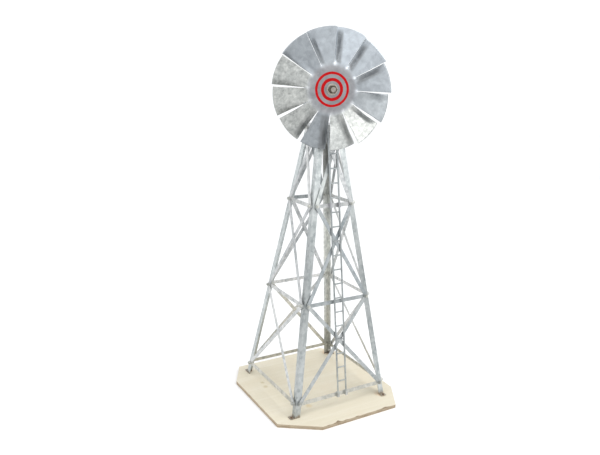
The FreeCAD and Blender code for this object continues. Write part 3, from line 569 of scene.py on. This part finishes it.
def wheel_mesh(matrix, rim):
    """One sheet slit into blades; each vertex carries the values that the material reads."""
    mesh = bmesh.new()
    names = ("tone", "fold", "mottled", "hub", "radius")
    layers = {name: mesh.verts.layers.float.new(name) for name in names}

    def add(radius, offset, blade):
        turn = FIRST_SLIT + math.pi / BLADES + 2 * math.pi * blade / BLADES
        point = sheet_point(radius, offset, rim, blade)
        spot = Vector((
            point.x * math.sin(turn) + point.y * math.cos(turn),
            point.x * math.cos(turn) - point.y * math.sin(turn),
            point.z,
        ))
        vertex = mesh.verts.new(matrix @ spot)
        onto_blade = smooth(radius, 0.82 * SLIT_ROOT, 1.08 * SLIT_ROOT)
        tone = HUB_TONE + (BLADE_TONE_AND_LIGHT[blade] - HUB_TONE) * onto_blade
        # Painted highlight added to the tone: a glint on the dimple at each slit's root, and a light band
        # beside the back edge of blades whose fold is reversed.
        band = back_edge_highlight(radius, offset, rim) * max(0.0, -BLADE_JOGGLE[blade])
        vertex[layers["tone"]] = tone + ROOT_GLINT[blade] * root_glint(radius, offset) + 0.5 * band
        vertex[layers["hub"]] = 1.0 - onto_blade
        vertex[layers["mottled"]] = HUB_MOTTLE + (BLADE_MOTTLE[blade] - HUB_MOTTLE) * onto_blade
        vertex[layers["fold"]] = painted_fold_shade(radius, offset, rim, blade)
        vertex[layers["radius"]] = radius
        return vertex

    hub_shares = [(index / HUB_ROWS) ** 0.9 for index in range(HUB_ROWS + 1)]
    hub_radii = [HUB_BORE + (SLIT_ROOT - HUB_BORE) * share for share in hub_shares]
    blade_radii = [SLIT_ROOT + (rim - SLIT_ROOT) * index / OUTWARD for index in range(1, OUTWARD + 1)]
    rows = []
    for radius in hub_radii + blade_radii:
        reach = math.pi / BLADES - math.asin(min(0.9, SLIT_HALF / radius))
        row = []
        for blade in range(BLADES):
            row.append([add(radius, reach * (2 * step / ACROSS - 1), blade) for step in range(ACROSS + 1)])
        rows.append(row)
    for level, (inner, outer) in enumerate(zip(rows, rows[1:])):
        for blade in range(BLADES):
            near, far = inner[blade], outer[blade]
            for step in range(ACROSS):
                mesh.faces.new((near[step], far[step], far[step + 1], near[step + 1]))
            if level < HUB_ROWS:
                after = (blade + 1) % BLADES
                mesh.faces.new((near[-1], far[-1], outer[after][0], inner[after][0]))
    bmesh.ops.recalc_face_normals(mesh, faces=mesh.faces)
    front = matrix.col[2].to_3d()
    if sum(face.normal.dot(front) for face in mesh.faces) < 0:
        bmesh.ops.reverse_faces(mesh, faces=mesh.faces)
    return mesh


def build_wheel(material):
    matrix = wheel_frame()
    mesh = wheel_mesh(matrix, wheel_radius(matrix))
    piece = new_piece("wheel_blades", mesh, material, "wheel", rounded=True)
    solid = piece.modifiers.new("Sheet", "SOLIDIFY")
    solid.thickness = SHEET
    solid.offset = 0.0
    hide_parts("wheel")


# ---- camera, light and floor ----------------------------------------------------------------

# The camera's place, angles and lens, solved from the photograph's perspective.
CAMERA_AT = Vector((-1.1111, -1.7371, 1.1321))
CAMERA_HEADING = math.radians(-30.701)
CAMERA_PITCH = math.radians(-14.337)
CAMERA_ROLL = math.radians(1.852)
CAMERA_LENS = 36.563
CAMERA_SENSOR = 36.0
FLOOR_RADIUS = 14.0
AIM = Vector((0, 0, 0.7))
DAYLIGHT = (0.97, 0.985, 1.0, 1.0)
DAYLIGHT_STRENGTH = 1.12
LAMP = (1.0, 0.99, 0.97)
WHITE = (1.0, 1.0, 1.0)


def make_camera():
    level = math.cos(CAMERA_PITCH)
    east, north = -math.sin(CAMERA_HEADING) * level, math.cos(CAMERA_HEADING) * level
    ahead = Vector((east, north, math.sin(CAMERA_PITCH)))
    right = ahead.cross(Vector((0, 0, 1))).normalized()
    up = right.cross(ahead)
    rolled_right = right * math.cos(CAMERA_ROLL) + up * math.sin(CAMERA_ROLL)
    rolled_up = up * math.cos(CAMERA_ROLL) - right * math.sin(CAMERA_ROLL)
    data = bpy.data.cameras.new("camera")
    data.sensor_width = CAMERA_SENSOR
    data.lens = CAMERA_LENS
    camera = bpy.data.objects.new("camera", data)
    axes = Matrix((rolled_right, rolled_up, -ahead)).transposed().to_4x4()
    camera.matrix_world = Matrix.Translation(CAMERA_AT) @ axes
    bpy.context.scene.collection.objects.link(camera)
    bpy.context.scene.camera = camera


def make_floor():
    mesh = bmesh.new()
    bmesh.ops.create_circle(mesh, cap_ends=True, segments=96, radius=FLOOR_RADIUS)
    graph = Graph("floor_paper", 0.0)
    tooth = graph.noise(0.8, 3.0)
    colour = graph.ramp(tooth, [(0.3, (0.93, 0.93, 0.93)), (0.7, (0.95, 0.95, 0.95))])
    data = bpy.data.meshes.new("floor")
    mesh.to_mesh(data)
    mesh.free()
    data.materials.append(graph.finish(colour, 0.9))
    floor = bpy.data.objects.new("floor", data)
    bpy.context.scene.collection.objects.link(floor)


def area_light(name, azimuth, elevation, distance, width, height, power, colour):
    """A soft panel aimed at the tower's middle from a direction round the ladder face."""
    turn, rise = math.radians(azimuth), math.radians(elevation)
    level = math.cos(rise)
    away = Vector((math.sin(turn) * level, -math.cos(turn) * level, math.sin(rise)))
    data = bpy.data.lights.new(name, "AREA")
    data.shape = "RECTANGLE"
    data.size = width
    data.size_y = height
    data.energy = power
    data.color = colour
    light = bpy.data.objects.new(name, data)
    light.location = AIM + away * distance
    light.rotation_euler = (-away).to_track_quat("-Z", "Y").to_euler()
    bpy.context.scene.collection.objects.link(light)


def make_light():
    world = bpy.data.worlds.new("studio")
    bpy.context.scene.world = world
    world.use_nodes = True
    background = world.node_tree.nodes["Background"]
    background.inputs["Color"].default_value = DAYLIGHT
    background.inputs["Strength"].default_value = DAYLIGHT_STRENGTH
    area_light("key", azimuth=40, elevation=54, distance=2.8, width=1.3, height=1.0, power=24.0, colour=LAMP)
    area_light("glint", azimuth=25, elevation=17, distance=3.0, width=0.5, height=0.5, power=7.0,
               colour=LAMP)
    area_light("fill", azimuth=-78, elevation=22, distance=3.0, width=1.5, height=1.5, power=13.0,
               colour=WHITE)
    bpy.context.scene.view_settings.view_transform = "Standard"


# ---- everything together --------------------------------------------------------------------

# Painted light and shade along each leg: how bright each leg is painted at shares of the tower's height; and
# the colour of its foot.
LEG_HEIGHT_SHADING = {
    "leg_front": ((0.10, 1.1), (0.24, 0.95), (0.43, 0.88), (0.65, 1.07), (0.84, 1.3)),
    "leg_right": ((0.10, 1.25), (0.22, 0.95), (0.54, 0.86), (0.68, 1.02), (0.82, 1.3), (0.93, 1.4)),
    "leg_left": ((0.07, 1.2), (0.43, 1.3), (0.71, 1.2), (0.82, 1.4)),
    "leg_back": ((0.07, 1.2), (0.22, 1.45), (0.54, 1.7), (0.73, 1.45), (0.84, 0.85), (1.0, 0.65)),
}
LEG_FEET = {
    "leg_front": srgb(142, 127, 108),
    "leg_right": srgb(158, 142, 120),
    "leg_left": srgb(92, 74, 60),
    "leg_back": srgb(110, 92, 74),
}
LEG_WARMTH = (1.03, 1.0, 0.97)
BACK_LEG_WARMTH = (1.07, 1.0, 0.93)
# Painted light and shade along the height for one brace, the ladder clips and the ladder: brighter or darker
# at shares of the tower's height, the brace darkening towards the top under the wheel.
BRACE_HEIGHT_SHADING = ((0.81, (1.27, 1.27, 1.24)), (0.86, (0.78, 0.78, 0.78)), (0.97, (0.50, 0.50, 0.52)))
CLIP_HEIGHT_SHADING = ((0.2, (1.80, 1.80, 1.72)), (0.5, (1.35, 1.35, 1.38)))
LADDER_HEIGHT_SHADING = (
    (0.07, (0.93, 0.91, 0.83)), (0.24, (0.78, 0.77, 0.74)), (0.54, (0.67, 0.67, 0.65)),
    (0.70, (0.76, 0.75, 0.73)), (0.93, (0.93, 0.93, 0.91)), (1.0, (1.20, 1.18, 1.15)),
)
STRAP_STAIN = srgb(140, 138, 130)
# How fine the crystals are on small turned and pressed parts, in metres.
SMALL_SPANGLE = 0.004
WASHER_SPANGLE = 0.005


def strap(name, light, dark, joints=0.4, height_shading=()):
    """Zinc on the flat bars, stained round the joints."""
    return zinc(name, light, dark, STRAP_STAIN, 0.06, joints=joints, height_shading=height_shading)


def leg_steel(leg):
    warmth = BACK_LEG_WARMTH if leg == "leg_back" else LEG_WARMTH
    height_shading = [(share, tuple(shade * channel for channel in warmth)) for share, shade in LEG_HEIGHT_SHADING[leg]]
    light, dark, stain = srgb(180, 186, 188), srgb(134, 142, 145), srgb(132, 130, 124)
    return zinc(f"{leg}_zinc", light, dark, stain, 0.05, joints=0.25, foot=LEG_FEET[leg], height_shading=height_shading)


STEEL = {
    # The strap looks are copies of one zinc, darker or brighter as set for each strap: painted light and
    # shade for how the light falls on it, the warm one also warmer in colour.
    "strap_shaded": strap("strap_shaded", srgb(172, 177, 179), srgb(129, 136, 139)),
    "strap": strap("strap_zinc", srgb(184, 187, 187), srgb(138, 144, 145)),
    "strap_graded_shade": strap("strap_graded_shade", srgb(184, 187, 187), srgb(138, 144, 145), 0.2, BRACE_HEIGHT_SHADING),
    "strap_lit": strap("strap_lit", srgb(203, 204, 204), srgb(153, 157, 159)),
    "strap_more_lit": strap("strap_more_lit", srgb(220, 220, 219), srgb(166, 170, 170)),
    "strap_warm_lit": strap("strap_warm_lit", srgb(216, 214, 206), srgb(163, 165, 160)),
    "strap_most_lit": strap("strap_most_lit", srgb(236, 235, 234), srgb(178, 182, 183)),
    "ladder": zinc("ladder_zinc", srgb(192, 197, 200), srgb(146, 152, 156), srgb(112, 110, 106), 0.08,
                   rough=(0.5, 0.7), height_shading=LADDER_HEIGHT_SHADING),
    "dark": zinc("clip_dark", srgb(148, 149, 150), srgb(106, 107, 108), srgb(92, 91, 90), 0.10,
                 metallic=0.5, height_shading=CLIP_HEIGHT_SHADING),
    "fastener": zinc("fastener_zinc", srgb(204, 205, 200), srgb(150, 150, 143), srgb(122, 104, 84), 0.10,
                     spangle=SMALL_SPANGLE),
    # Dark brown hub nuts.
    "nut_dark_brown": zinc("nut_dark_brown", srgb(104, 96, 84), srgb(62, 55, 46), srgb(60, 48, 38), 0.16,
                          spangle=SMALL_SPANGLE),
    "axle": zinc("axle_tarnished", srgb(172, 164, 156), srgb(116, 108, 99), srgb(92, 78, 64), 0.08,
                 spangle=SMALL_SPANGLE),
    "head": zinc("head_zinc", srgb(190, 193, 195), srgb(134, 138, 140), srgb(112, 106, 98), 0.08),
    "washer": zinc("washer_tarnished", srgb(198, 190, 179), srgb(144, 136, 125), srgb(112, 98, 80), 0.10,
                   spangle=WASHER_SPANGLE),
    "vane": zinc("vane_zinc", srgb(190, 195, 197), srgb(142, 147, 150), srgb(140, 138, 132), 0.03),
}
for leg_name in LEG_HEIGHT_SHADING:
    STEEL[leg_name] = leg_steel(leg_name)

# The look of each CAD node; a leg has its own, and a node that isn't listed is a plain strap.
CAD_LOOKS = {
    "fastener": ("joint_bolts", "joint_nuts", "joint_washers", "pivot_post", "post_nuts", "thrust_washer",
                 "tail_rivets"),
    "ladder": ("ladder",),
    "dark": ("ladder_clips",),
    "head": ("head_housing", "tail_boom"),
    "vane": ("tail_vane",),
    "axle": ("axle_bolt",),
    "washer": ("hub_washers",),
    "nut_dark_brown": ("hub_nuts",),
    # The strap looks below hand out painted light and shade, strap by strap.
    "strap_shaded": ("brace_middle_front_left", "brace_middle_front_right", "brace_upper_back_left",
                   "girt_mid_front", "girt_high_back"),
    "strap_graded_shade": ("brace_upper_front_left",),
    "strap_lit": ("brace_middle_back_left", "brace_middle_back_right", "brace_middle_left_left",
                    "brace_middle_left_right", "brace_upper_left_left", "brace_upper_right_right",
                    "brace_upper_front_right", "brace_upper_back_right", "girt_high_front", "tower_cap"),
    "strap_more_lit": ("brace_lower_left_left", "brace_lower_left_right", "brace_lower_back_right",
                   "brace_lower_right_left", "brace_lower_right_right", "brace_middle_right_left",
                   "brace_middle_right_right", "brace_upper_left_right", "brace_upper_right_left",
                   "girt_mid_left", "girt_high_left", "girt_high_right"),
    "strap_warm_lit": ("girt_low_front", "girt_low_left", "girt_low_right", "girt_low_back",
                   "brace_lower_back_left"),
    "strap_most_lit": ("girt_mid_back", "girt_mid_right"),
}
LOOK_OF = {node: look for look, nodes in CAD_LOOKS.items() for node in nodes}


def look_of(node):
    if node in LEG_HEIGHT_SHADING:
        return node
    return LOOK_OF.get(node, "strap")


def wear(node, material):
    """Gives every slot of a CAD node one material."""
    for held in NODES[node].material_slots:
        held.material = material


def build():
    rust = rusty_steel("screw_rust")
    bush = brass()
    for node in NODES:
        if node == "foot_screws":
            wear(node, rust)
        elif node == "axle_bushes":
            wear(node, bush)
        elif node not in ("wheel", "base_board"):
            wear(node, STEEL[look_of(node)])
    board = new_piece("board_plies", board_mesh(), plywood(), "tower")
    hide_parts("base_board")
    build_wheel(wheel_sheet())
    make_camera()
    make_floor()
    make_light()


build()
